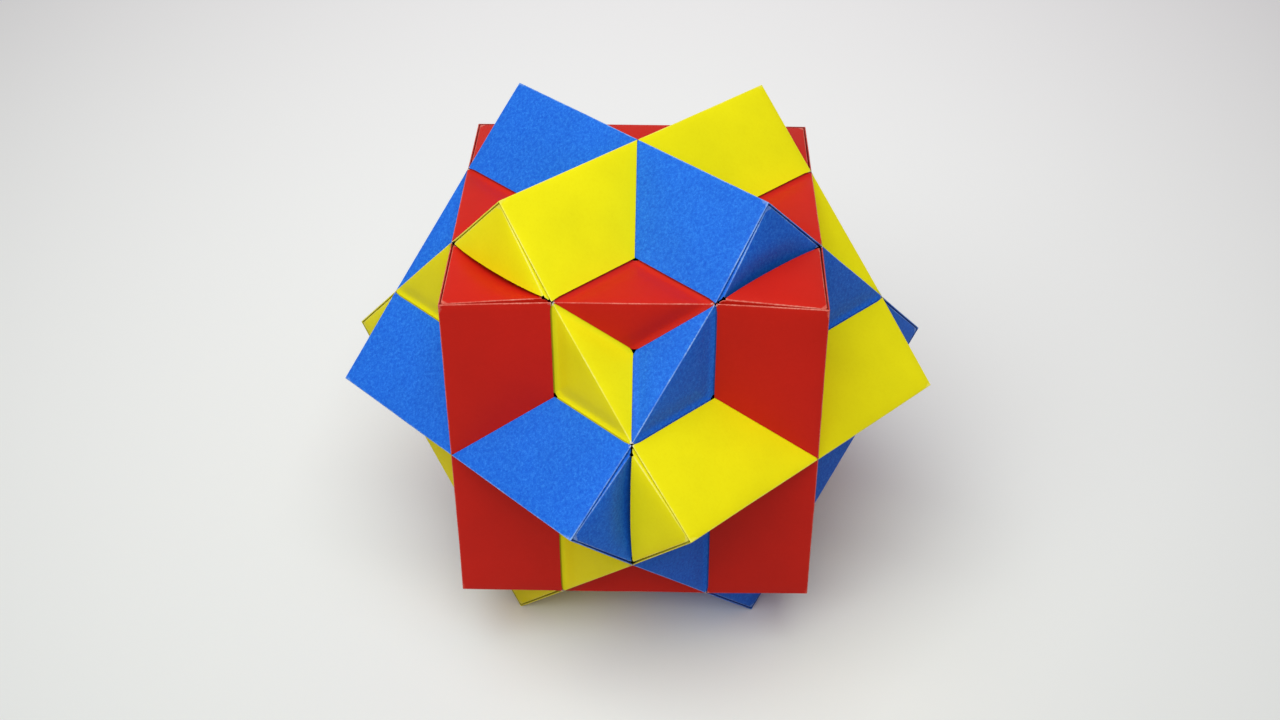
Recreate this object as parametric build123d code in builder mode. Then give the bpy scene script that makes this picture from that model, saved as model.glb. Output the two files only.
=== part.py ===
from build123d import *
from math import sqrt
import os

# Modular origami model of three interpenetrating cubes: 48 folded sheets in three colours.
# Each sheet is drawn once about the centre of the model and turned to its places.

# Driving sizes in millimetres
cube_edge = 70.0  # edge of each of the three cubes
sheet = 0.15  # thickness of one flap: two layers of thin paper
gap = 0.06  # air between flaps that lie on each other
foot_lift = 0.2  # height of a roof's lower edge over the flat panel beside it
recess = 0.1  # tip of the end panel below the hemmed edges round it
rise = 0.7  # how far the end panel leans out from its tip to its foot
slit = 0.25  # how much the slits beside the end panel widen towards their foot
hem = 4.0  # depth of the hems along the gable edges
tuck = 3.2  # depth of the end panel's tuck tab and pleat
roof_tab = 5.0  # depth of the tab under the next roof
flat_tab = 6.0  # depth of the flat panel's tabs
pit_tab = 4.0  # depth of the pit panel's tab
lap = 1.5  # how far one end panel reaches under another
blunt = 0.3  # how much a paper corner falls short at a crossing of edges
valley_end = 0.6  # how much the pit panels fall short where three valleys meet
curl_radius = 1.2  # radius where a flat panel curls up under a roof

# Distances that follow from the cube
half = cube_edge / 2
reach = half * sqrt(2)  # centre of the model to a cube's edge
notch = reach - half  # half the width of a tent at its foot
slope = notch * sqrt(2)  # ridge to foot along a roof
under = sheet + gap  # depth of a tab below the surface that covers it
inner = 2 * under  # depth of the third layer
free_edge = sqrt(2) * (gap + sheet / 2)  # a loose edge stops this short of a valley
pressed = sheet * 0.6  # what a hard crease takes off on each side of a fold
rest_drop = pressed / sqrt(2)  # how much lower than a sharp edge the pressed one is
lean = rise / notch  # slope of the end panel
end_normal = Vector(lean, 0, 1).normalized()

up = Vector(0, 0, 1)
out = Vector(1, 0, 0)


# A flat flap with its outer face through the corners; its edges run square to it or as told
def flap(corners, outward, thickness=sheet, inward=None):
    face = Plane(origin=corners[0], z_dir=outward)
    flat = [face.to_local_coords(corner) for corner in corners]
    with BuildSketch(face) as outline:
        with BuildLine():
            Polyline(*[(point.X, point.Y) for point in flat], close=True)
        make_face()
    extrude(outline.sketch, amount=thickness, dir=inward or -outward)


# A valley fold between two flaps: hollow curve of a given radius in front, mitred behind
def valley(start, end, first, second, radius=0.1):
    middle = (first + second).normalized()
    share = middle.dot(first)
    centre = start + middle * radius / share
    section = Plane(origin=start, z_dir=end - start)
    points = [
        centre - first * radius,
        centre - middle * radius,
        centre - second * radius,
        centre - second * (radius + sheet),
        start - middle * sheet / share,
        centre - first * (radius + sheet),
    ]
    a, b, c, d, e, f = [section.to_local_coords(point) for point in points]
    with BuildSketch(section) as outline:
        with BuildLine():
            ThreePointArc((a.X, a.Y), (b.X, b.Y), (c.X, c.Y))
            Polyline((c.X, c.Y), (d.X, d.Y), (e.X, e.Y), (f.X, f.Y), (a.X, a.Y))
        make_face()
    extrude(outline.sketch, amount=(end - start).length)


# Presses the folds nearest to the points: their sharp backs become narrow flats
def crease(form, points, length=pressed):
    folds = [form.edges().sort_by_distance(point)[0] for point in points]
    chamfer(folds, length)


# A point of a corner sheet: depth below a roof, distance down from the ridge, height along it
def on_roof(side, depth, down, along):
    outward = Vector(1, side, 0).normalized()
    downhill = Vector(-1, side, 0).normalized()
    return Vector(reach, 0, along) + downhill * down - outward * depth


# Depth of the end panel's fold below a roof: the slit widens towards the foot
def leg_depth(down):
    return inner + slit * down / slope


# Height of the end panel's outer face along the ridge, at a distance from the model's centre
def end_height(x):
    return half - recess + lean * (reach - x)


# Point on one leg of the end panel
def on_leg(side, down):
    point = on_roof(side, leg_depth(down), down, 0)
    return point + up * end_height(point.X)


# Point on the lower edge of the flap that hangs from a leg
def below_leg(side, down, height):
    return on_roof(side, leg_depth(down), down, height)


# One of the two roof panels with its hem
def roof(side, low_ridge, low_foot):
    outward = Vector(1, side, 0).normalized()
    foot = slope - sqrt(2) * foot_lift - sheet
    corner = [
        on_roof(side, 0, 0, free_edge),
        on_roof(side, 0, low_ridge, free_edge),
        on_roof(side, 0, foot, low_foot(foot)),
        on_roof(side, 0, foot, half),
        on_roof(side, 0, 0, half),
    ]
    flap([p for p, q in zip(corner, corner[1:] + corner[:1]) if (p - q).length > 0.01], outward)
    # Hem: folded over at the top and laid against the inside
    near = inner
    far = foot - blunt / 2
    hem_flap = [
        on_roof(side, under, near, half),
        on_roof(side, under, far, half),
        on_roof(side, under, far - hem, half - hem),
        on_roof(side, under, near + hem / 4, half - hem),
    ]
    flap(hem_flap, outward)
    turn = [
        on_roof(side, 0, near, half),
        on_roof(side, 0, far, half),
        on_roof(side, 0, far, half - sheet),
        on_roof(side, 0, near, half - sheet),
    ]
    flap(turn, outward, under + sheet)


# A fold that drops from one leg of the end panel
def leg_flap(side, near, far, splay):
    corners = [
        on_leg(side, near) - up * sheet / 2,
        on_leg(side, far) - up * sheet / 2,
        below_leg(side, far, half - sheet),
        below_leg(side, far - splay, half - tuck),
        below_leg(side, near + splay / 2, half - tuck),
    ]
    outward = (corners[1] - corners[0]).cross(up).normalized() * side
    flap(corners, outward)


# The toe of a leg's fold: runs on below the panel's foot and nearly closes the crossing
def toe(side, far):
    end = slope - leg_depth(slope) - blunt
    middle = (far + end) / 2
    outline = [
        below_leg(side, far - hem / 2, half + 1.5 * blunt),
        below_leg(side, middle, on_leg(side, middle).X - blunt),
        below_leg(side, end, half - gap),
        below_leg(side, end - blunt, half - tuck / 2),
        below_leg(side, far - hem / 2, half - tuck / 2),
    ]
    outward = (outline[1] - outline[0]).cross(up).normalized() * side
    flap(outline, outward)


# Sheet over one cube corner: the ridge runs up to the corner, the end panel closes the gable
def corner_sheet(laps_under):
    with BuildPart() as form:
        # Roofs: the left one runs on into a tab, the right one ends free over its neighbour's tab
        tabbed = sqrt(2) * (free_edge + sqrt(2) * under)
        roof(1, tabbed, lambda down: down / sqrt(2) - sqrt(2) * under)
        roof(-1, 0, lambda down: down / sqrt(2) + free_edge)

        # End panel with its tuck tab on the left and its pleat on the right
        foot_x = end_height(half) + gap
        last = (reach - foot_x) * sqrt(2) - inner - slit
        near = inner + under + blunt / 2
        far = last - blunt
        leg_flap(1, near, far, tuck)
        leg_flap(-1, near, far, 0)
        tip = [on_leg(1, near), on_leg(-1, near)]
        legs = [on_leg(-1, far), on_leg(1, far)]
        # The lower corners are cut square to the legs
        square = up.cross(legs[1] - tip[0])
        cut_y = legs[1].Y + square.Y * (foot_x - legs[1].X) / square.X
        foot = [(foot_x, -cut_y)]
        if laps_under:
            back = half - sheet - lap
            step = cut_y - blunt
            foot += [(foot_x, -step), (back, -step + 2 * lap)]
        foot += [(x, -y) for x, y in reversed(foot)]
        low = [Vector(x, y, end_height(x)) for x, y in foot]
        flap([tip[1], legs[0]] + low + [legs[1], tip[0]], end_normal, inward=-up)

        # Foot of the pleat: joins it to the right roof's hem
        pleat_foot = half - tuck + sheet
        inward = Vector(-1, 1, 0).normalized() * sheet
        first = on_roof(-1, under, near + tuck / 4, pleat_foot)
        second = on_roof(-1, under, far - hem, pleat_foot)
        third = below_leg(-1, far - hem, pleat_foot) + inward
        fourth = below_leg(-1, near + tuck / 4, pleat_foot) + inward
        flap([first, second, third, fourth], up)

        # Tab under the next tent's roof
        first_normal = Vector(1, 1, 0).normalized()
        next_normal = Vector(1, 0, 1).normalized()
        along = Vector(-1, 1, 1).normalized()
        away = Vector(1, 2, -1).normalized()
        start = on_roof(1, 0, 0, -sqrt(2) * under)
        root_start = start + along * roof_tab * 0.8
        root_end = start + along * (slope * sqrt(1.5) - 2)
        tip_end = root_end + away * roof_tab - along * roof_tab * 0.6
        tip_start = root_start + away * roof_tab + along * roof_tab
        flap([root_start, root_end, tip_end, tip_start], next_normal)
        valley(root_start, root_end, first_normal, next_normal)

        # Creases
        folds = [Vector(reach, 0, half / 2)]
        for side in (1, -1):
            folds.append(on_roof(side, 0, slope / 2, half))
            folds.append(on_roof(side, under + sheet, slope / 2, half))
            folds.append(on_leg(side, slope / 2))
        crease(form, folds)
        for side in (1, -1):
            toe(side, far)
    return form.part


# Sheet over a stretch of a cube's edge: a flat panel with two tabs and a pit panel with one
def bridge_sheet():
    with BuildPart() as form:
        edge_end = notch - blunt
        apex = slope

        # Flat panel, down to the folds of its two tabs
        leg_x = edge_end + apex - 2 * under
        cut_x = apex + valley_end / 6
        cut_y = cut_x - apex + 2 * under
        flat = [
            Vector(half, edge_end, half),
            Vector(leg_x, edge_end, half),
            Vector(cut_x, cut_y, half),
            Vector(cut_x, -cut_y, half),
            Vector(leg_x, -edge_end, half),
            Vector(half, -edge_end, half),
        ]
        flap(flat, up)

        # Tabs that curl up under the roofs on both sides
        for side in (1, -1):
            roof_normal = Vector(0.5, -0.5 * side, sqrt(0.5))
            along = Vector(1, side, 0).normalized()
            uphill = Vector(-0.5, 0.5 * side, sqrt(0.5))
            root_start = Vector(cut_x, cut_y * side, half)
            root_end = Vector(leg_x, edge_end * side, half)
            tip_start = root_start + uphill * flat_tab + along * flat_tab * 0.6
            tip_end = root_end + uphill * flat_tab - along * flat_tab * 1.1
            flap([root_start, root_end, tip_end, tip_start], roof_normal)
            valley(root_start, root_end, up, roof_normal, curl_radius)

        # Pit panel: one lower edge runs on into a tab, the other ends free
        def tab_line(y):
            return half * sqrt(0.5) + y * sqrt(0.5) - sqrt(2) * under

        def free_line(y):
            return half * sqrt(0.5) - y * sqrt(0.5) + free_edge

        low = half * sqrt(0.5) + valley_end
        tab_y = (low - tab_line(0)) * sqrt(2)
        free_y = -(low - free_line(0)) * sqrt(2)
        pit = [
            Vector(half, edge_end, half),
            Vector(half, edge_end, tab_line(edge_end)),
            Vector(half, tab_y, low),
            Vector(half, free_y, low),
            Vector(half, -edge_end, free_line(-edge_end)),
            Vector(half, -edge_end, half),
        ]
        flap(pit, out)

        # Tab under the next pit panel
        next_normal = Vector(0.5, -0.5, sqrt(0.5))
        along = Vector(0, sqrt(2), 1).normalized()
        away = along.cross(next_normal)
        root_start = Vector(half, tab_y, low)
        length = (edge_end - tab_y) * sqrt(1.5)
        root_end = root_start + along * (length - 1)
        tip_start = root_start + away * pit_tab + along * pit_tab
        tip_end = root_start + away * pit_tab + along * (length - 1.9 * pit_tab)
        flap([root_start, root_end, tip_end, tip_start], next_normal)
        valley(root_start, root_end, out, next_normal)

        # Creases
        crease(form, [Vector(half, 0, half)])
    return form.part


corner_over = corner_sheet(False)
corner_under = corner_sheet(True)
bridge = bridge_sheet()

# The cubes' axes with the model lying on two crossing edges: red upright, the others level
axes = {
    "red": Vector(0, 0, 1),
    "yellow": Vector(1, 1, 0).normalized(),
    "blue": Vector(-1, 1, 0).normalized(),
}
# Where two end panels meet, the one named first here lies on top
order = ["yellow", "red", "blue"]
lift = reach - rest_drop

os.makedirs("parts", exist_ok=True)
for colour, axis in axes.items():
    number = 0
    others = [name for name in axes if name != colour]
    # Corner sheets: each cube corner faces one of the four directions across its axis
    for ridge in (axis, -axis):
        for other in others:
            for facing in (axes[other], -axes[other]):
                number += 1
                master = corner_over if order.index(colour) < order.index(other) else corner_under
                place = Pos(0, 0, lift) * Plane((0, 0, 0), x_dir=facing, z_dir=ridge).location
                with BuildPart() as corner:
                    add(master.moved(place))
                corner.part.label = f"{colour}_corner_{number}"
                export_step(corner.part, f"parts/{corner.part.label}.step")
    # Bridge sheets: each one lies between two neighbouring corners of its cube
    number = 0
    for top in (axis, -axis):
        for first in (axes[others[0]], -axes[others[0]]):
            for second in (axes[others[1]], -axes[others[1]]):
                number += 1
                facing = (first + second).normalized()
                place = Pos(0, 0, lift) * Plane((0, 0, 0), x_dir=facing, z_dir=top).location
                with BuildPart() as span:
                    add(bridge.moved(place))
                span.part.label = f"{colour}_bridge_{number}"
                export_step(span.part, f"parts/{span.part.label}.step")
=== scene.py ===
# %% [markdown]
# # A folded-paper model of crossing cubes
# The object is a modular origami model: three cubes that pass through each other, one of red, one
# of yellow and one of blue paper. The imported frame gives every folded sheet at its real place, with
# dead flat panels. This notebook keeps those places and brings in what paper does in the hand: end
# panels that bow out, roofs that swell a little, creases that turn pale, and a fibrous surface.

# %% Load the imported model
import math

import bmesh
import bpy
from mathutils import Matrix, Vector


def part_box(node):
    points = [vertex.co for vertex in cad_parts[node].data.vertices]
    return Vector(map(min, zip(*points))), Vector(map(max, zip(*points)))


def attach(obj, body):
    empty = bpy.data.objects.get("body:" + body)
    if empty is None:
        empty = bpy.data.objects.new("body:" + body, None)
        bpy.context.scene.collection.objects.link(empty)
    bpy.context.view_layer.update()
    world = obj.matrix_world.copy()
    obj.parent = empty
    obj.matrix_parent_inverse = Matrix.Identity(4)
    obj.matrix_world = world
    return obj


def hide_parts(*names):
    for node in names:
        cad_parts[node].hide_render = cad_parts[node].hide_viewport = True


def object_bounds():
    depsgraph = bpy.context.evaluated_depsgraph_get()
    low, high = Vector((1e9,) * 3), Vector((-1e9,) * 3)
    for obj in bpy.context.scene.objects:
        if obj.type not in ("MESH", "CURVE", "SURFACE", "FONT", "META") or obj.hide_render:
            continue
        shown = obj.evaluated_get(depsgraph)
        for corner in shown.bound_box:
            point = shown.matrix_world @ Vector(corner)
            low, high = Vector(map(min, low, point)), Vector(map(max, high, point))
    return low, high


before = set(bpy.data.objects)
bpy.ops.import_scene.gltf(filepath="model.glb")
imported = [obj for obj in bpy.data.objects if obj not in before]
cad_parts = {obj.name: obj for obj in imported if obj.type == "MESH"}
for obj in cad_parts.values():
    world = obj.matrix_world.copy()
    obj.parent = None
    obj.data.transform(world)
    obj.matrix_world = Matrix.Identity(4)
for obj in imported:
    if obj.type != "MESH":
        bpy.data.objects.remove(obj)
cad_low, cad_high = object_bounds()
MM = 0.001
print("folded sheets in the frame:", len(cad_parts))
print("size in mm:", [round(side / MM, 1) for side in cad_high - cad_low])

# %% [markdown]
# ## Where each sheet sits
# Every sheet is one of three shapes: a corner sheet whose end panel lies on top of its neighbour, a
# corner sheet whose end panel slips under it, and a bridge sheet. Of two colours that meet, the one
# that comes first in TOP_FIRST lies on top. A sheet's place is given by two directions: the way it
# faces and the way its ridge runs. Going through the axes of the cubes in a loop gives all of them
# in the order in which the frame numbers them.

# %% Seats of the sheets
AXES = {
    "red": Vector((0, 0, 1)),
    "yellow": Vector((1, 1, 0)).normalized(),
    "blue": Vector((-1, 1, 0)).normalized(),
}
TOP_FIRST = ["yellow", "red", "blue"]
centre = (cad_low + cad_high) / 2
seats = {}
for colour, axis in AXES.items():
    others = [name for name in AXES if name != colour]
    count = 0
    for ridge in (axis, -axis):
        for other in others:
            on_top = TOP_FIRST.index(colour) < TOP_FIRST.index(other)
            for facing in (AXES[other], -AXES[other]):
                count += 1
                seats[f"{colour}_corner_{count}"] = (facing, ridge, "over" if on_top else "under")
    count = 0
    for ridge in (axis, -axis):
        for first in (AXES[others[0]], -AXES[others[0]]):
            for second in (AXES[others[1]], -AXES[others[1]]):
                count += 1
                facing = (first + second).normalized()
                seats[f"{colour}_bridge_{count}"] = (facing, ridge, "bridge")
print("seats:", len(seats))


def turn(facing, ridge):
    """From a sheet's own axes to its place: x the way it faces, z along its ridge."""
    side = ridge.cross(facing)
    columns = Matrix((facing, side, ridge)).transposed().to_4x4()
    return Matrix.Translation(centre) @ columns


# %% [markdown]
# ## One fine mesh for each kind of sheet
# Flat panels from the frame are a few large triangles, which can't bend. A Subdivision Surface
# would keep their long thin shapes, so one sheet of each kind is copied, merged and cut into even
# cells by three families of planes, and then reused at all its seats. HALF_EDGE is half of a
# cube's edge in millimetres, and a sheet's two sharp tips lie at the crossings on its two sides.
#
# Narrow strips are told apart on the way: a strip with a soft edge beside it is the rounded back of
# a fold, and one with hard edges on both sides is the cut edge of the paper. Each point also keeps
# four distances in millimetres: from the nearest fold, from the nearer of the sheet's two sharp
# tips, from the hem that lies in the slit beside an end panel, and, on a bridge sheet, from lines
# that run just beyond the edges where its panels run on into tabs.

# %% Tips and folded edges of a sheet
HALF_EDGE = 35.0
NOTCH = HALF_EDGE * (math.sqrt(2) - 1)
TIPS = [Vector((HALF_EDGE, side * NOTCH, HALF_EDGE)) * MM for side in (1, -1)]
FLAT_END = Vector((HALF_EDGE - NOTCH, 0, HALF_EDGE)) * MM
PIT_END = Vector((HALF_EDGE, 0, HALF_EDGE * math.sqrt(0.5))) * MM
BEYOND_EDGE = 0.6 * MM


def curled_edge(start, end, across):
    """A line just beyond a panel's folded edge, and the way from it into the panel."""
    along = (end - start).normalized()
    inward = across - start
    inward = (inward - along * inward.dot(along)).normalized()
    return start - inward * BEYOND_EDGE, inward


CURLS = [
    curled_edge(FLAT_END, TIPS[0], TIPS[1]),
    curled_edge(FLAT_END, TIPS[1], TIPS[0]),
    curled_edge(PIT_END, TIPS[0], TIPS[1]),
]
print("a sheet's tips in mm:", [[round(value / MM, 1) for value in tip] for tip in TIPS])

# %% Tell folds from cut edges
NARROW = 0.3 * MM
LEAST_ANGLE = 0.05
SOFT_ANGLE = math.radians(50)
SLIT_FROM, SLIT_TO = 0.25 * MM, 0.41 * MM


def strip_kind(face):
    """Tells a fold strip from a cut edge by the angles at its two long sides."""
    longest = max(edge.calc_length() for edge in face.edges)
    if face.calc_area() / longest > NARROW:
        return None
    long_edges = [edge for edge in face.edges if edge.calc_length() > longest / 2]
    angles = [edge.calc_face_angle_signed(0.0) for edge in long_edges]
    if any(LEAST_ANGLE < angle < SOFT_ANGLE for angle in angles):
        return "crease"
    return "cut" if all(angle > SOFT_ANGLE for angle in angles) else None


def middle_line(face):
    """The two ends of the line that runs along the middle of a narrow strip."""
    long_edges = sorted(face.edges, key=lambda edge: -edge.calc_length())[:2]
    first, second = ([vert.co.copy() for vert in edge.verts] for edge in long_edges)
    if (first[0] - second[0]).length > (first[0] - second[1]).length:
        second.reverse()
    return (first[0] + second[0]) / 2, (first[1] + second[1]) / 2


def lies_in_slit(line):
    """The inner back of a hem lies in the dark slit beside the end panel."""
    middle = (line[0] + line[1]) / 2
    depth = HALF_EDGE * MM - (middle.x + abs(middle.y)) * math.sqrt(0.5)
    return SLIT_FROM < depth < SLIT_TO


def mark_strips(form, kind):
    """Marks folds and cut edges; gives the middle lines of the folds and of the hems in slits."""
    marks = {name: form.faces.layers.float.new(name) for name in ("crease", "cut")}
    folds, slits = [], []
    for face in form.faces:
        found = strip_kind(face)
        if found == "crease":
            line = middle_line(face)
            if kind != "bridge" and lies_in_slit(line):
                slits.append(line)
                continue
            folds.append(line)
        if found:
            face[marks[found]] = 1.0
    return folds, slits


# %% Cut a sheet into small cells
CELL = 1.5 * MM
SAME_POINT = 0.002 * MM
SAME_PLANE = math.radians(1)
SHARP_ANGLE = math.radians(25)
ON_THE_CUT = 1e-7
FAR_AWAY = 10.0


def cut_in_cells(form):
    """Cuts the sheet by planes across all three axes, one cell apart."""
    for axis in range(3):
        values = [vert.co[axis] for vert in form.verts]
        lowest = min(values)
        normal = Vector((0, 0, 0))
        normal[axis] = 1
        for step in range(1, int((max(values) - lowest) / CELL) + 1):
            place = normal * (lowest + step * CELL)
            parts = form.verts[:] + form.edges[:] + form.faces[:]
            bmesh.ops.bisect_plane(form, geom=parts, plane_co=place, plane_no=normal, dist=ON_THE_CUT)
    bmesh.ops.triangulate(form, faces=form.faces)


def distance_to(point, start, end):
    """How far a point is from a line between two ends."""
    along = end - start
    share = max(0.0, min(1.0, (point - start).dot(along) / along.length_squared))
    return (point - start - along * share).length


def nearest(point, lines):
    """The distance in millimetres to the nearest of some lines."""
    if not lines:
        return FAR_AWAY
    return min(distance_to(point, *line) for line in lines) / MM


def measure_points(form, kind, folds, slits):
    """Keeps at each point how far it is from folds, tips, curled edges and slits."""
    names = ("fold", "tip", "curl", "slit")
    layers = [form.verts.layers.float.new(f"{name}_distance") for name in names]
    for vert in form.verts:
        from_tip = min((vert.co - tip).length for tip in TIPS) / MM
        from_curl = FAR_AWAY
        if kind == "bridge":
            from_curl = min((vert.co - start).dot(inward) for start, inward in CURLS)
            from_curl = max(0.0, from_curl) / MM
        values = (nearest(vert.co, folds), from_tip, from_curl, nearest(vert.co, slits))
        for layer, value in zip(layers, values):
            vert[layer] = value


def fine_sheet(node):
    """A merged copy of one sheet in its own axes, with its marks, in small cells."""
    facing, ridge, kind = seats[node]
    form = bmesh.new()
    form.from_mesh(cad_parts[node].data)
    bmesh.ops.remove_doubles(form, verts=form.verts, dist=SAME_POINT)
    bmesh.ops.transform(form, matrix=turn(facing, ridge).inverted(), verts=form.verts)
    bmesh.ops.dissolve_limit(form, angle_limit=SAME_PLANE, verts=form.verts, edges=form.edges)
    folds, slits = mark_strips(form, kind)
    for edge in form.edges:
        edge.smooth = edge.calc_face_angle(0.0) < SHARP_ANGLE
    cut_in_cells(form)
    measure_points(form, kind, folds, slits)
    for face in form.faces:
        face.smooth = True
    mesh = bpy.data.meshes.new(f"fine_{kind}")
    form.to_mesh(mesh)
    form.free()
    return mesh


fine = {}
for node, (facing, ridge, kind) in seats.items():
    if kind not in fine:
        fine[kind] = fine_sheet(node)
        print(kind, "triangles:", len(fine[kind].polygons))

# %% [markdown]
# ## Small helpers for node trees
# The same few lines would come back in every tree, so one helper adds a node, sets its options and
# feeds its sockets with either a value or another node's output. A socket knows the tree that it
# is in, so the helpers for arithmetic only have to be told what they add or multiply.

# %% Node helpers
def put(tree, kind, feeds=None, **options):
    """Adds a node with its options, and feeds its sockets."""
    node = tree.nodes.new(kind)
    for option, value in options.items():
        setattr(node, option, value)
    for key, value in (feeds or {}).items():
        if isinstance(value, bpy.types.NodeSocket):
            tree.links.new(value, node.inputs[key])
        else:
            node.inputs[key].default_value = value
    return node


def tree_of(values):
    """The tree that holds the first socket among some values."""
    return next(value.id_data for value in values if isinstance(value, bpy.types.NodeSocket))


def number(operation, *values):
    """A Math node on one or two values."""
    feeds = dict(enumerate(values))
    return put(tree_of(values), "ShaderNodeMath", feeds, operation=operation).outputs[0]


def vector(operation, *values):
    """A Vector Math node; a dot product or a length comes back as a number."""
    node = put(tree_of(values), "ShaderNodeVectorMath", dict(enumerate(values)), operation=operation)
    return node.outputs["Value" if operation in ("DOT_PRODUCT", "LENGTH") else "Vector"]


def scaled(value, factor):
    """A vector or a colour times a number."""
    feeds = {0: value, "Scale": factor}
    node = put(tree_of((value, factor)), "ShaderNodeVectorMath", feeds, operation="SCALE")
    return node.outputs["Vector"]


# %% Arithmetic helpers
def add(first, second):
    return number("ADD", first, second)


def less(first, second):
    return number("SUBTRACT", first, second)


def over(first, second):
    return number("DIVIDE", first, second)


def at_least(first, second):
    return number("MAXIMUM", first, second)


def times(first, *others):
    """The product of two or more values."""
    for other in others:
        first = number("MULTIPLY", first, other)
    return first


def between(share, low, high):
    """From low to high while the share goes from 0 to 1."""
    return add(times(share, high - low), low)


# %% Colour and pattern helpers
def ramp(value, start, end, at_start=0.0, at_end=1.0, shape="LINEAR"):
    """A Map Range node, which stays at its end values outside of start and end."""
    feeds = {"Value": value, "From Min": start, "From Max": end, "To Min": at_start, "To Max": at_end}
    return put(value.id_data, "ShaderNodeMapRange", feeds, interpolation_type=shape).outputs[0]


def blend(share, first, second):
    """A Mix node from one colour to another."""
    feeds = {0: share, 6: first, 7: second}
    return put(share.id_data, "ShaderNodeMix", feeds, data_type="RGBA").outputs[2]


def noise(place, **settings):
    """The value of a Noise Texture."""
    return put(place.id_data, "ShaderNodeTexNoise", {"Vector": place, **settings}).outputs[0]


# %% [markdown]
# ## Paper in the hand
# Folded paper is never quite flat, and what it does follows rules that are measured from its folds.
# So Geometry Nodes do it: one tree, used for every sheet, moves each point by its place in the
# sheet's own axes. The next cells each add one effect, and the last one joins them. Sizes are in
# millimetres, apart from places in the model and the size of the noise, which are in metres. The
# first cell finds a point's place, and its depth below the outer faces of the sheet's left and
# right roofs.

# %% A point's place in its sheet
SHEET = 0.15
GAP = 0.06
SLIT = 0.22
LEG_DEPTH = 2 * (SHEET + GAP) + SLIT


def own_place(given, position):
    """A point in the sheet's own axes, and its depth below the two roofs."""
    local = scaled(vector("SUBTRACT", position, given["Centre"]), 1 / MM)
    x, y, z = (vector("DOT_PRODUCT", local, given[axis]) for axis in ("Facing", "Side", "Ridge"))
    left = less(given["Half Edge"], times(add(x, y), math.sqrt(0.5)))
    right = less(given["Half Edge"], times(less(x, y), math.sqrt(0.5)))
    return x, y, z, left, right


print("depth of a leg below the roof in mm:", round(LEG_DEPTH, 2))

# %% [markdown]
# The end panels bow outwards at their free lower edge, where nothing holds them, and are flat along
# their two folded legs. An end panel that slips under its neighbour is pressed in where it is
# lapped, so there it dips. The roofs swell by a fraction of a millimetre, most in their middle.

# %% Bowed end panels and swollen roofs
LAPPED_TO = 1.9
LAP_EASE = 4.0
SWELL_PEAK = 0.0137


def bowed_end_panel(given, x, z, left, right):
    """How far the end panel moves out: most at the middle of its free edge."""
    half = given["Half Edge"]
    free_left = at_least(less(left, given["Leg Depth"]), 0)
    free_right = at_least(less(right, given["Leg Depth"]), 0)
    widest = less(times(half, 1 - math.sqrt(0.5)), given["Leg Depth"])
    bow = over(times(free_left, free_right), times(widest, widest))
    bow = number("POWER", bow, given["Fullness"])
    clear_of_lap = over(less(x, add(half, LAPPED_TO)), LAP_EASE)
    clear_of_lap = number("MINIMUM", at_least(clear_of_lap, 0), 1)
    held = less(1, times(given["Lapped"], less(1, clear_of_lap)))
    at_end = number("GREATER_THAN", z, less(half, given["End Panel"]))
    return scaled(given["Ridge"], times(bow, held, at_end, given["Bow"]))


def with_swollen_roofs(moved, given, z, left, right):
    """Adds the swell between ridge, foot and ends, on the outer layer of both roofs."""
    half = given["Half Edge"]
    slope = times(half, 2 - math.sqrt(2))
    for depth, down, sign in ((left, right, 1), (right, left, -1)):
        across = at_least(times(down, less(slope, down)), 0)
        above_foot = at_least(less(z, times(down, math.sqrt(0.5))), 0)
        lengthwise = times(at_least(less(half, z), 0), above_foot)
        shape = over(times(across, lengthwise), times(number("POWER", half, 4), SWELL_PEAK))
        outer = number("LESS_THAN", depth, given["Roof Layer"])
        outward = vector("ADD", given["Facing"], scaled(given["Side"], sign))
        outward = scaled(outward, math.sqrt(0.5))
        moved = vector("ADD", moved, scaled(outward, times(shape, outer, given["Swell"])))
    return moved


# %% [markdown]
# The ridges of hand-folded sheets don't all end in the same place. The six ends nearest to the
# camera stand back by up to about a millimetre on the real model, and the others get a tenth of
# one. Where eight sheets meet at a crossing they are pushed together, and so are the pit panels at
# the bottom of a pit, which closes the small gaps that the frame leaves between them.

# %% Ridge ends that stand back, and crowded points
def with_ridge_end_back(moved, given, x, z):
    """Moves the ridge's end back; its end panel and gable edges lean with it."""
    half = given["Half Edge"]
    outside = at_least(over(less(x, half), times(half, math.sqrt(2) - 1)), 0)
    nearness = ramp(less(half, z), 0.0, given["Stand Back Reach"], 1.0, 0.0, "SMOOTHSTEP")
    back = times(outside, nearness, given["Stand Back"])
    return vector("SUBTRACT", moved, scaled(given["Ridge"], back))


def with_crowded_points(moved, given, x, y, z):
    """Pulls what is near a crossing, or near a pit's bottom, towards that point."""
    half = given["Half Edge"]
    crossing_side = times(number("SIGN", y), times(half, math.sqrt(2) - 1))
    pit_bottom = times(half, math.sqrt(0.5))
    for goal_side, goal_end in ((crossing_side, half), (0.0, pit_bottom)):
        way = {"X": less(half, x), "Y": less(goal_side, y), "Z": less(goal_end, z)}
        way = put(half.id_data, "ShaderNodeCombineXYZ", way).outputs[0]
        pull = at_least(less(1, over(vector("LENGTH", way), given["Crowd Reach"])), 0)
        way = scaled(way, times(pull, given["Crowd"]))
        parts = put(half.id_data, "ShaderNodeSeparateXYZ", {"Vector": way}).outputs
        for axis, part in (("Facing", "X"), ("Side", "Y"), ("Ridge", "Z")):
            moved = vector("ADD", moved, scaled(given[axis], parts[part]))
    return moved


# %% [markdown]
# Last, every crease wavers. The wavering is one slow noise field in space, so tabs and the panels
# over them move together and never cut through each other. The tree then keeps all points inside
# the box of the frame, so that nothing sinks into the table.

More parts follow.
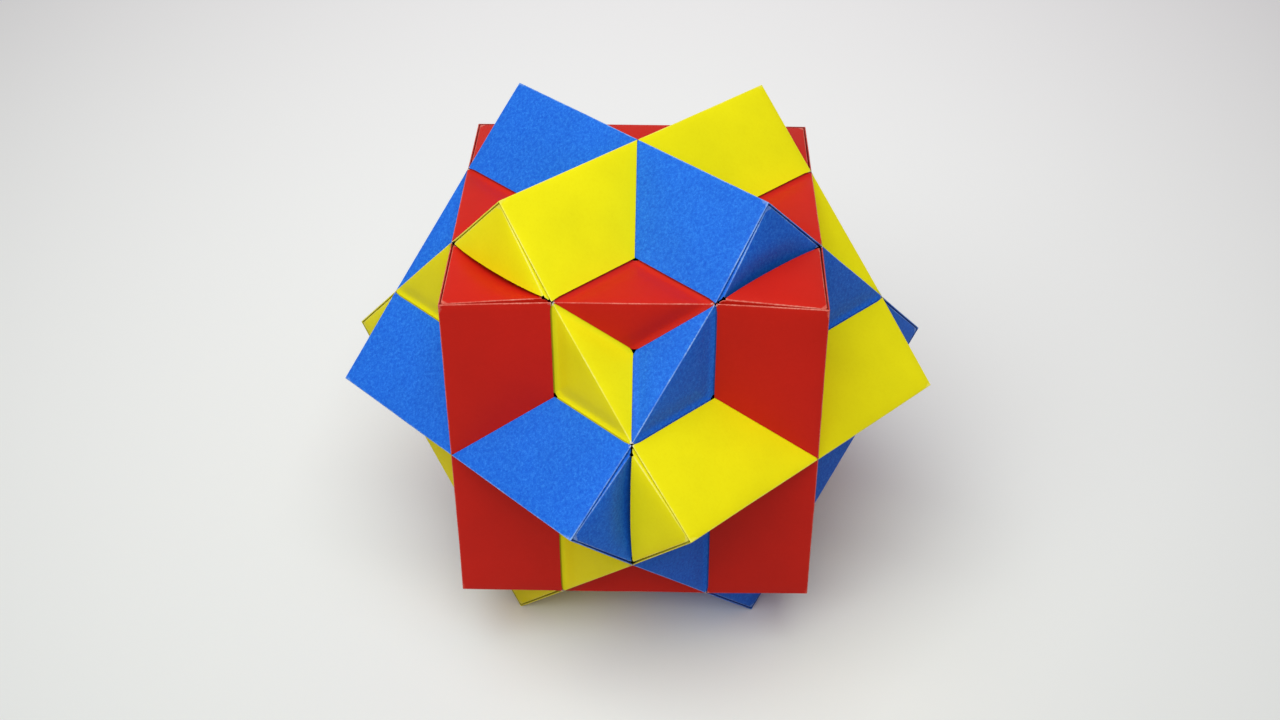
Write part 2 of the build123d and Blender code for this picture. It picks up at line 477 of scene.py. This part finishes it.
# %% Geometry tree for living paper
DIRECTIONS = ("Facing", "Side", "Ridge", "Centre", "Low", "High")
AMOUNTS = (
    "Half Edge", "Leg Depth", "End Panel", "Roof Layer", "Bow", "Fullness", "Lapped", "Swell",
    "Stand Back", "Stand Back Reach", "Crowd", "Crowd Reach", "Waver", "Waver Size", "Seed",
)


def with_wavering(moved, given, position):
    """Adds the drift of the noise field, which is as strong one way as the other."""
    place = vector("DIVIDE", position, given["Waver Size"])
    feeds = {"Vector": place, "W": given["Seed"], "Scale": 1.0, "Detail": 1.0}
    field = put(position.id_data, "ShaderNodeTexNoise", feeds, noise_dimensions="4D")
    drift = vector("SUBTRACT", field.outputs["Color"], (0.5, 0.5, 0.5))
    return vector("ADD", moved, scaled(drift, times(given["Waver"], 2)))


def living_paper_tree():
    """The tree that shapes a flat sheet as it is in the hand."""
    tree = bpy.data.node_groups.new("Living paper", "GeometryNodeTree")
    interface = tree.interface
    interface.new_socket("Geometry", in_out="INPUT", socket_type="NodeSocketGeometry")
    for name in DIRECTIONS:
        interface.new_socket(name, in_out="INPUT", socket_type="NodeSocketVector")
    for name in AMOUNTS:
        interface.new_socket(name, in_out="INPUT", socket_type="NodeSocketFloat")
    interface.new_socket("Paper", in_out="INPUT", socket_type="NodeSocketMaterial")
    interface.new_socket("Geometry", in_out="OUTPUT", socket_type="NodeSocketGeometry")
    given = put(tree, "NodeGroupInput").outputs
    position = put(tree, "GeometryNodeInputPosition").outputs[0]
    x, y, z, left, right = own_place(given, position)
    moved = bowed_end_panel(given, x, z, left, right)
    moved = with_swollen_roofs(moved, given, z, left, right)
    moved = with_ridge_end_back(moved, given, x, z)
    moved = with_crowded_points(moved, given, x, y, z)
    moved = with_wavering(moved, given, position)
    goal = vector("ADD", position, scaled(moved, MM))
    goal = vector("MINIMUM", vector("MAXIMUM", goal, given["Low"]), given["High"])
    shaped = put(tree, "GeometryNodeSetPosition", {"Geometry": given["Geometry"], "Position": goal})
    realized = put(tree, "GeometryNodeRealizeInstances", {"Geometry": shaped.outputs[0]})
    feeds = {"Geometry": realized.outputs[0], "Material": given["Paper"]}
    coloured = put(tree, "GeometryNodeSetMaterial", feeds)
    put(tree, "NodeGroupOutput", {"Geometry": coloured.outputs[0]})
    return tree


living_paper = living_paper_tree()
print("nodes in the paper tree:", len(living_paper.nodes))

# %% [markdown]
# ## What the paper is made of
# Folding paper is coloured on one side. The blue sheets have long fibres that took the dye
# unevenly, the yellow ones are nearly even with a few specks, and the red ones are smooth with a
# satin sheen. An image texture would repeat or stretch on 48 sheets; noise in space doesn't. One
# shader group gives all papers their fibres with different strengths: slow clouds, fibre grain in
# two sizes, and a height for the bump.

# %% Fibre group
CLUMP_SHARE = 0.55
GRAIN_MIDDLE = (0.36, 0.64)
CLOUD_MIDDLE, CLOUD_TONES = (0.3, 0.7), (0.965, 1.035)
GLOSSIEST, DULLEST = 0.45, 0.62


def new_group(name, inputs, outputs):
    """A shader group with named inputs, their values, and named outputs."""
    tree = bpy.data.node_groups.new(name, "ShaderNodeTree")
    for socket, kind, value in inputs:
        made = tree.interface.new_socket(socket, in_out="INPUT", socket_type=kind)
        made.default_value = value
    for socket, kind in outputs:
        tree.interface.new_socket(socket, in_out="OUTPUT", socket_type=kind)
    return tree


def fibre_group():
    """Paler and deeper fibres on the colour, their gloss, and their height in millimetres."""
    tree = new_group(
        "Paper fibres",
        [
            ("Colour", "NodeSocketColor", (1, 1, 1, 1)),
            ("Thin Colour", "NodeSocketColor", (1, 1, 1, 1)),
            ("Deep Colour", "NodeSocketColor", (0, 0, 0, 1)),
            ("Mottle", "NodeSocketFloat", 0.5),
            ("Grain Size", "NodeSocketFloat", 1.0),
            ("Relief", "NodeSocketFloat", 0.02),
        ],
        [
            ("Colour", "NodeSocketColor"),
            ("Roughness", "NodeSocketFloat"),
            ("Height", "NodeSocketFloat"),
        ],
    )
    given = put(tree, "NodeGroupInput").outputs
    place = scaled(put(tree, "ShaderNodeTexCoord").outputs["Object"], 1 / MM)
    place = vector("DIVIDE", place, given["Grain Size"])
    clump = noise(place, Scale=1.7, Detail=4.0, Roughness=0.65)
    fibre = noise(place, Scale=4.5, Detail=3.0, Roughness=0.7, Distortion=0.6)
    cloud = noise(place, Scale=0.12, Detail=2.0)
    grain = add(times(clump, CLUMP_SHARE), times(fibre, 1 - CLUMP_SHARE))
    lively = ramp(grain, *GRAIN_MIDDLE)
    paler = times(ramp(lively, 0.5, 1.0), given["Mottle"])
    deeper = times(ramp(lively, 0.5, 0.0), given["Mottle"])
    dyed = blend(paler, given["Colour"], given["Thin Colour"])
    dyed = blend(deeper, dyed, given["Deep Colour"])
    dyed = scaled(dyed, ramp(cloud, *CLOUD_MIDDLE, *CLOUD_TONES))
    rough = ramp(fibre, 0.0, 1.0, GLOSSIEST, DULLEST)
    height = times(grain, given["Relief"])
    put(tree, "NodeGroupOutput", {"Colour": dyed, "Roughness": rough, "Height": height})
    return tree


fibres = fibre_group()
print("nodes in the fibre group:", len(fibres.nodes))

# %% [markdown]
# Where the paper is folded hard, its coloured face cracks and the pale core shows as a broken line.
# The cut edges show the core along their whole length, and at the tips, where eight sheets crowd
# together, it is rubbed bare. The valleys between a bridge sheet and its tabs and the slits beside
# the end panels hardly see any light, so painted shade darkens the colour there. A second group lays
# all of this over the colour, by the marks and distances that the mesh carries.

# %% Masks for worn creases and painted shade
FOLD_LINE, FOLD_PALENESS = 0.06, 0.6
LEAST_CRACK = 0.07
# The VALLEY_ and HEM_ distances in millimetres bound the painted shade in valleys and slits.
VALLEY_FROM, VALLEY_TO, VALLEY_SHADE = 0.3, 0.6, 0.8
HEM_FROM, HEM_TO = 0.06, 0.2
LEAST_TIP, TIP_CORE = 0.3, 0.6


def crack_mask(given, broken, patches):
    """Cracks along the folds, widest where the noise is high, and the bare cut edges."""
    width = at_least(times(given["Crack Width"], between(broken, 0.5, 1.2)), LEAST_CRACK)
    near = ramp(given["Fold Distance"], FOLD_LINE, width, 1.0, 0.0)
    line = at_least(near, times(given["Crease"], FOLD_PALENESS))
    crack = times(line, given["Crack"], times(between(broken, 0.5, 1.0), patches))
    return at_least(crack, times(given["Cut"], given["Bare Edge"]))


def painted_shade_mask(given):
    """Painted shade in the valley beside a curl, and in the slit beside an end panel."""
    valley = ramp(given["Curl Distance"], VALLEY_FROM, VALLEY_TO, 1.0, 0.0)
    slit = ramp(given["Slit Distance"], HEM_FROM, HEM_TO, 1.0, 0.0)
    return at_least(times(valley, VALLEY_SHADE), slit)


def tip_mask(given, broken):
    """The tips, where the coloured face is rubbed off down to the core."""
    rubbed = times(given["Bare Tip"], add(broken, LEAST_TIP))
    return ramp(given["Tip Distance"], times(rubbed, TIP_CORE), rubbed, 1.0, 0.0)


# %% [markdown]
# The group also gives a height for the bump. Beside a fold the paper rolls over towards it. Where a
# panel of a bridge sheet runs on into a tab, it curls up, and just before that it dips into a
# shallow hollow: both catch the light as soft bands along the edge.

# %% Crease group, with painted shade
NOISE_MIDDLE = (0.38, 0.62)
LEAST_PATCH, LEAST_REACH = 0.45, 0.94


def crease_height(given, patches):
    """The roll towards a fold, the curl towards a tab, and the hollow before the curl."""
    fade = number("EXPONENT", over(given["Fold Distance"], times(given["Roll Width"], -1)))
    rolled = times(fade, given["Roll"], -1)
    reach = times(given["Curl Width"], between(patches, LEAST_REACH, 1.0))
    rise = at_least(less(1, over(given["Curl Distance"], reach)), 0)
    curled = times(rise, rise, given["Curl"])
    apart = over(less(given["Curl Distance"], reach), given["Hollow Width"])
    hollow = number("EXPONENT", times(apart, apart, -1))
    return less(add(rolled, curled), times(hollow, given["Hollow"]))


def crease_group():
    """Worn folds, edges and tips over a colour, with painted shade, and their height in millimetres.
    """
    tree = new_group(
        "Worn creases and painted shade",
        [
            ("Colour", "NodeSocketColor", (1, 1, 1, 1)),
            ("Worn Colour", "NodeSocketColor", (0.9, 0.9, 0.88, 1)),
            ("Core Colour", "NodeSocketColor", (0.8, 0.79, 0.76, 1)),
            ("Crease", "NodeSocketFloat", 0.0),
            ("Cut", "NodeSocketFloat", 0.0),
            ("Fold Distance", "NodeSocketFloat", FAR_AWAY),
            ("Tip Distance", "NodeSocketFloat", FAR_AWAY),
            ("Curl Distance", "NodeSocketFloat", FAR_AWAY),
            ("Slit Distance", "NodeSocketFloat", FAR_AWAY),
            ("Crack", "NodeSocketFloat", 0.6),
            ("Crack Width", "NodeSocketFloat", 0.3),
            ("Bare Edge", "NodeSocketFloat", 0.3),
            ("Bare Tip", "NodeSocketFloat", 0.9),
            ("Roll", "NodeSocketFloat", 0.1),
            ("Roll Width", "NodeSocketFloat", 0.9),
            ("Curl", "NodeSocketFloat", 0.5),
            ("Curl Width", "NodeSocketFloat", 1.9),
            ("Hollow", "NodeSocketFloat", 0.22),
            ("Hollow Width", "NodeSocketFloat", 1.7),
            # Strength of the painted shade in valleys and slits.
            ("Painted Shade", "NodeSocketFloat", 0.7),
        ],
        [("Colour", "NodeSocketColor"), ("Height", "NodeSocketFloat")],
    )
    given = put(tree, "NodeGroupInput").outputs
    place = scaled(put(tree, "ShaderNodeTexCoord").outputs["Object"], 1 / MM)
    broken = ramp(noise(place, Scale=2.2, Detail=4.0, Roughness=0.8), *NOISE_MIDDLE)
    patches = ramp(noise(place, Scale=0.22, Detail=2.0), *NOISE_MIDDLE, LEAST_PATCH, 1.0)
    # Painted shade: the colour is darkened in the valleys and slits.
    unshaded = less(1, times(painted_shade_mask(given), given["Painted Shade"]))
    worn_and_shaded = scaled(given["Colour"], unshaded)
    worn_and_shaded = blend(crack_mask(given, broken, patches), worn_and_shaded, given["Worn Colour"])
    worn_and_shaded = blend(tip_mask(given, broken), worn_and_shaded, given["Core Colour"])
    put(tree, "NodeGroupOutput", {"Colour": worn_and_shaded, "Height": crease_height(given, patches)})
    return tree


creases = crease_group()
print("nodes in the crease group:", len(creases.nodes))

# %% [markdown]
# ## Three papers
# Each colour is one material with its own values for both groups. The groups only put out what
# changes over the surface: colour, roughness and height. The Principled shader and the Bump node
# stay in the material, where the export can read them, and the specular level, which is the same
# all over, is a plain value on the shader's own socket.

# %% Paper materials
MARKS = ("crease", "cut", "fold_distance", "tip_distance", "curl_distance", "slit_distance")


def folding_paper(name, fibre_values, crease_values, specular):
    """A paper with its fibres and its worn creases."""
    material = bpy.data.materials.new(name)
    material.use_nodes = True
    tree = material.node_tree
    tree.nodes.clear()
    fibre = put(tree, "ShaderNodeGroup", node_tree=fibres)
    worn_and_shaded = put(tree, "ShaderNodeGroup", node_tree=creases)
    for group, values in ((fibre, fibre_values), (worn_and_shaded, crease_values)):
        for socket, value in values.items():
            group.inputs[socket].default_value = value
    tree.links.new(fibre.outputs["Colour"], worn_and_shaded.inputs["Colour"])
    for mark in MARKS:
        found = put(tree, "ShaderNodeAttribute", attribute_name=mark).outputs["Fac"]
        tree.links.new(found, worn_and_shaded.inputs[mark.replace("_", " ").title()])
    height = add(fibre.outputs["Height"], worn_and_shaded.outputs["Height"])
    relief = put(tree, "ShaderNodeBump", {"Height": height, "Strength": 1.0, "Distance": MM})
    shader = put(tree, "ShaderNodeBsdfPrincipled", {
        "Base Color": worn_and_shaded.outputs["Colour"],
        "Roughness": fibre.outputs["Roughness"],
        "Normal": relief.outputs[0],
        "Specular IOR Level": specular,
    })
    put(tree, "ShaderNodeOutputMaterial", {"Surface": shader.outputs[0]})
    return material


papers = {
    "red": folding_paper(
        "red_paper",
        {
            "Colour": (0.63, 0.012, 0.003, 1),
            "Thin Colour": (0.71, 0.024, 0.009, 1),
            "Deep Colour": (0.53, 0.007, 0.002, 1),
            "Mottle": 0.14, "Grain Size": 1.2, "Relief": 0.003,
        },
        {
            "Worn Colour": (0.9, 0.36, 0.27, 1),
            "Crack": 0.7, "Crack Width": 0.19, "Roll": 0.16, "Curl": 0.95,
        },
        0.2,
    ),
    "yellow": folding_paper(
        "yellow_paper",
        {
            "Colour": (0.95, 0.865, 0.003, 1),
            "Thin Colour": (0.97, 0.9, 0.012, 1),
            "Deep Colour": (0.88, 0.775, 0.002, 1),
            "Mottle": 0.3, "Grain Size": 1.2, "Relief": 0.012,
        },
        {
            "Worn Colour": (0.98, 0.94, 0.34, 1),
            "Crack": 0.6, "Crack Width": 0.22, "Roll": 0.2, "Curl": 0.85,
        },
        0.14,
    ),
    "blue": folding_paper(
        "blue_paper",
        {
            "Colour": (0.012, 0.15, 0.75, 1),
            "Thin Colour": (0.036, 0.25, 0.89, 1),
            "Deep Colour": (0.005, 0.09, 0.62, 1),
            "Mottle": 0.85, "Grain Size": 1.0, "Relief": 0.022,
        },
        {
            "Worn Colour": (0.42, 0.64, 0.95, 1),
            "Crack": 0.75, "Crack Width": 0.2, "Roll": 0.16, "Curl": 0.85,
        },
        0.16,
    ),
}
print("papers:", list(papers))

# %% [markdown]
# ## Setting the sheets in place
# Each sheet gets a copy of its kind's fine mesh, turned to its seat, and the paper tree as a
# modifier. The result is written into a plain mesh, so the finished piece has its shape and place
# in its own points. It stands for the frame's node of the same sheet. No two sheets come out of
# the hand alike, so their end panels bow a little more or less, and two are folded tighter than
# the rest. The ridge ends that stand back are the six nearest to the camera.

# %% How far each sheet bends
KINDS = {
    "over": {"Bow": 1.2, "Lapped": 0.0, "Swell": 0.25},
    "under": {"Bow": 0.45, "Lapped": 3.5, "Swell": 0.25},
    "bridge": {"Bow": 0.0, "Lapped": 0.0, "Swell": 0.0},
}
TIGHTER = {"yellow_corner_8": 0.5, "red_corner_4": 0.7}
LEAST_BOW, BOW_STEP, BOW_STEPS = 0.92, 0.04, 5
STAND_BACK = {
    "red_corner_2": 0.8,
    "red_corner_4": 1.0,
    "yellow_corner_5": 0.7,
    "yellow_corner_8": 0.8,
    "blue_corner_5": 1.2,
    "blue_corner_8": 0.9,
}
STAND_BACK_ELSEWHERE = 0.1
END_MARGIN = 0.5
COMMON = {
    "Half Edge": HALF_EDGE,
    "Leg Depth": LEG_DEPTH,
    "End Panel": SHEET + END_MARGIN,
    "Roof Layer": SHEET + GAP / 2,
    "Fullness": 0.75,
    "Stand Back Reach": 22.0,
    "Crowd": 0.75,
    "Crowd Reach": 1.6,
    "Waver": 0.16,
    "Waver Size": 28 * MM,
    "Seed": 3.0,
}


def sheet_values(node, facing, ridge, kind):
    """All that the paper tree is told about one sheet."""
    usual = LEAST_BOW + BOW_STEP * (int(node[-1]) % BOW_STEPS)
    return {
        **COMMON,
        **KINDS[kind],
        "Facing": facing, "Side": ridge.cross(facing), "Ridge": ridge,
        "Centre": centre, "Low": cad_low, "High": cad_high,
        "Bow": KINDS[kind]["Bow"] * TIGHTER.get(node, usual),
        "Stand Back": STAND_BACK.get(node, STAND_BACK_ELSEWHERE),
        "Paper": papers[node.split("_")[0]],
    }


print("sheets folded tighter than the rest:", list(TIGHTER))

# %% Place all sheets
sockets = {}
for item in living_paper.interface.items_tree:
    if item.in_out == "INPUT":
        sockets[item.name] = item.identifier


def misfit(mesh, node):
    """How far the box of a turned mesh is from the box of the frame's sheet."""
    low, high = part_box(node)
    apart = []
    for axis in range(3):
        values = [vert.co[axis] for vert in mesh.vertices]
        apart += [abs(min(values) - low[axis]), abs(max(values) - high[axis])]
    return max(apart)


def in_the_hand(node, mesh, values):
    """Runs the paper tree on a draft and gives the result as a plain mesh."""
    draft = bpy.data.objects.new(f"{node}_draft", mesh)
    bpy.context.scene.collection.objects.link(draft)
    hand = draft.modifiers.new("Living paper", "NODES")
    hand.node_group = living_paper
    for name, value in values.items():
        hand[sockets[name]] = value
    graph = bpy.context.evaluated_depsgraph_get()
    shaped = bpy.data.meshes.new_from_object(draft.evaluated_get(graph))
    draft.modifiers.remove(hand)
    bpy.data.objects.remove(draft)
    return shaped


worst = 0.0
for node, (facing, ridge, kind) in seats.items():
    mesh = fine[kind].copy()
    mesh.transform(turn(facing, ridge))
    worst = max(worst, misfit(mesh, node))
    shaped = in_the_hand(node, mesh, sheet_values(node, facing, ridge, kind))
    piece = bpy.data.objects.new(f"{node}_paper", shaped)
    bpy.context.scene.collection.objects.link(piece)
    colour = node.split("_")[0]
    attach(piece, "root")
    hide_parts(node)
print("largest misfit of a seat in mm:", round(worst / MM, 4))

# %% [markdown]
# ## Table
# The photograph is a plain product picture on a pale table, which is brighter towards the back.
# Making this with lamps would change the light on the paper too. So the table's paint has two
# colours: what the camera and reflections look at follows the picture, with painted light that
# brightens it towards the back, and what throws light on the paper is one plain colour. Both keep
# the model's shadow. Beyond the picture's view the table fades into a pale wall, so that it has no
# edge from other sides.

# %% Table
SEEN_COLOUR, PLAIN_COLOUR = (0.697, 0.703, 0.702), (0.43, 0.375, 0.425)
# Peak, place and falloff of the painted light on the table where the camera and reflections see it.
BRIGHT_PEAK, BRIGHT_X, BRIGHT_Y, FALL_X, FALL_Y, LEAST_GAIN = 2.17, 0.015, 0.756, 6.69, 1.337, 0.9
FADE_FROM, FADE_TO, PALE_WALL = 0.4, 0.75, 0.72
TABLE_RADIUS = 1.6
WHITE = (1, 1, 1, 1)


def looked_at(tree):
    """1 for rays from the camera or from a reflection, 0 for rays that gather light."""
    ray = put(tree, "ShaderNodeLightPath").outputs
    reflected = at_least(ray["Is Glossy Ray"], ray["Is Transmission Ray"])
    return at_least(ray["Is Camera Ray"], reflected)


def table_paint():
    """A pale paint, with painted light that brightens it towards the back, that fades into the wall
    where it is looked at.
    """
    material = bpy.data.materials.new("table_paint")
    material.use_nodes = True
    tree = material.node_tree
    tree.nodes.clear()
    place = put(tree, "ShaderNodeTexCoord").outputs["Object"]
    apart = put(tree, "ShaderNodeSeparateXYZ", {"Vector": place}).outputs
    # Painted light: the colour that the camera sees is brightest towards the back and dims to the
    # sides.
    across = number("POWER", less(apart["X"], BRIGHT_X), 2)
    along = number("POWER", less(apart["Y"], BRIGHT_Y), 2)
    lost = add(times(across, FALL_X), times(along, FALL_Y))
    seen_with_painted_light = scaled(SEEN_COLOUR, at_least(less(BRIGHT_PEAK, lost), LEAST_GAIN))
    direct = looked_at(tree)
    paint = put(tree, "ShaderNodeBsdfDiffuse", {"Color": blend(direct, (*PLAIN_COLOUR, 1), seen_with_painted_light)})
    wall = put(tree, "ShaderNodeEmission", {"Color": WHITE, "Strength": PALE_WALL})
    far = ramp(vector("LENGTH", place), FADE_FROM, FADE_TO, 0.0, 1.0, "SMOOTHSTEP")
    feeds = {0: times(far, direct), 1: paint.outputs[0], 2: wall.outputs[0]}
    mixed = put(tree, "ShaderNodeMixShader", feeds)
    put(tree, "ShaderNodeOutputMaterial", {"Surface": mixed.outputs[0]})
    return material


def lay_table():
    """A round table top under the model."""
    form = bmesh.new()
    bmesh.ops.create_circle(form, cap_ends=True, segments=96, radius=TABLE_RADIUS)
    mesh = bpy.data.meshes.new("table")
    form.to_mesh(mesh)
    form.free()
    top = bpy.data.objects.new("table", mesh)
    bpy.context.scene.collection.objects.link(top)
    mesh.materials.append(table_paint())


lay_table()
print("table radius in m:", TABLE_RADIUS)

# %% [markdown]
# ## Light
# One broad soft lamp stands in front, above and a little to the left, and weak even light comes
# from all round. In the picture the lit sides of the paper lean a little towards green and the
# shaded ones away from it, so the lamp and the even light are each tinted a little.
# The camera and reflections see the world as the same pale wall that the table fades into.

# %% Lamp
LAMP_TINT = (0.98, 1.05, 0.98)
LAMP_AWAY, LAMP_SIZE, LAMP_WATTS = 0.7, 0.8, 5.6


def soft_lamp(name, place, aim):
    """A square area lamp that looks at a point."""
    data = bpy.data.lights.new(name, "AREA")
    data.shape = "SQUARE"
    data.size = LAMP_SIZE
    data.energy = LAMP_WATTS
    data.color = LAMP_TINT
    lamp = bpy.data.objects.new(name, data)
    bpy.context.scene.collection.objects.link(lamp)
    lamp.location = place
    lamp.rotation_mode = "QUATERNION"
    lamp.rotation_quaternion = (aim - place).to_track_quat("-Z", "Y")


toward_lamp = Vector((-0.17, -0.46, 0.87)).normalized()
soft_lamp("front_softbox", centre + toward_lamp * LAMP_AWAY, centre)
print("lamp in W:", LAMP_WATTS, "at a distance in m:", LAMP_AWAY)

# %% Light from all round
ALL_ROUND = 0.22
SHADE_TINT = (1.03, 0.85, 0.99, 1)


def studio_world():
    """Weak even light from all round, which looks like a pale wall."""
    world = bpy.data.worlds.new("studio")
    world.use_nodes = True
    tree = world.node_tree
    background = tree.nodes["Background"]
    direct = looked_at(tree)
    tree.links.new(blend(direct, SHADE_TINT, WHITE), background.inputs["Color"])
    tree.links.new(ramp(direct, 0.0, 1.0, ALL_ROUND, PALE_WALL), background.inputs["Strength"])
    bpy.context.scene.world = world


studio_world()
print("strength of the light from all round:", ALL_ROUND)

# %% [markdown]
# ## Camera
# The camera's direction, distance and lens come from fitting the corners of the cubes to the
# picture: an ordinary lens, about a third of a metre from the model. Distance and shifts are in
# units of half a cube's edge.

# %% Camera
AZIMUTH, ELEVATION, ROLL = math.radians(1.24), math.radians(35.15), math.radians(-0.06)
DISTANCE, SHIFT_RIGHT, SHIFT_UP = 9.461, -0.011, 0.046
FOCAL_PIXELS, IMAGE_WIDTH = 1586.6, 1280


def photo_camera():
    """A camera with the photograph's place, direction and lens."""
    data = bpy.data.cameras.new("camera")
    data.sensor_width = 36
    data.lens = FOCAL_PIXELS / IMAGE_WIDTH * data.sensor_width
    data.clip_start, data.clip_end = 0.01, 10
    camera = bpy.data.objects.new("camera", data)
    bpy.context.scene.collection.objects.link(camera)
    level = math.cos(ELEVATION)
    back = Vector((math.sin(AZIMUTH) * level, -math.cos(AZIMUTH) * level, math.sin(ELEVATION)))
    right = Vector((math.cos(AZIMUTH), math.sin(AZIMUTH), 0))
    up = back.cross(right)
    unit = HALF_EDGE * MM
    place = centre + (back * DISTANCE - right * SHIFT_RIGHT - up * SHIFT_UP) * unit
    turned = Matrix((right, up, back)).transposed() @ Matrix.Rotation(ROLL, 3, "Z")
    camera.matrix_world = Matrix.Translation(place) @ turned.to_4x4()
    bpy.context.scene.camera = camera
    return camera


camera = photo_camera()
print("lens in mm:", round(camera.data.lens, 2))

# %% Plain colours
bpy.context.scene.view_settings.view_transform = "Standard"
print("colours are shown as:", bpy.context.scene.view_settings.view_transform)
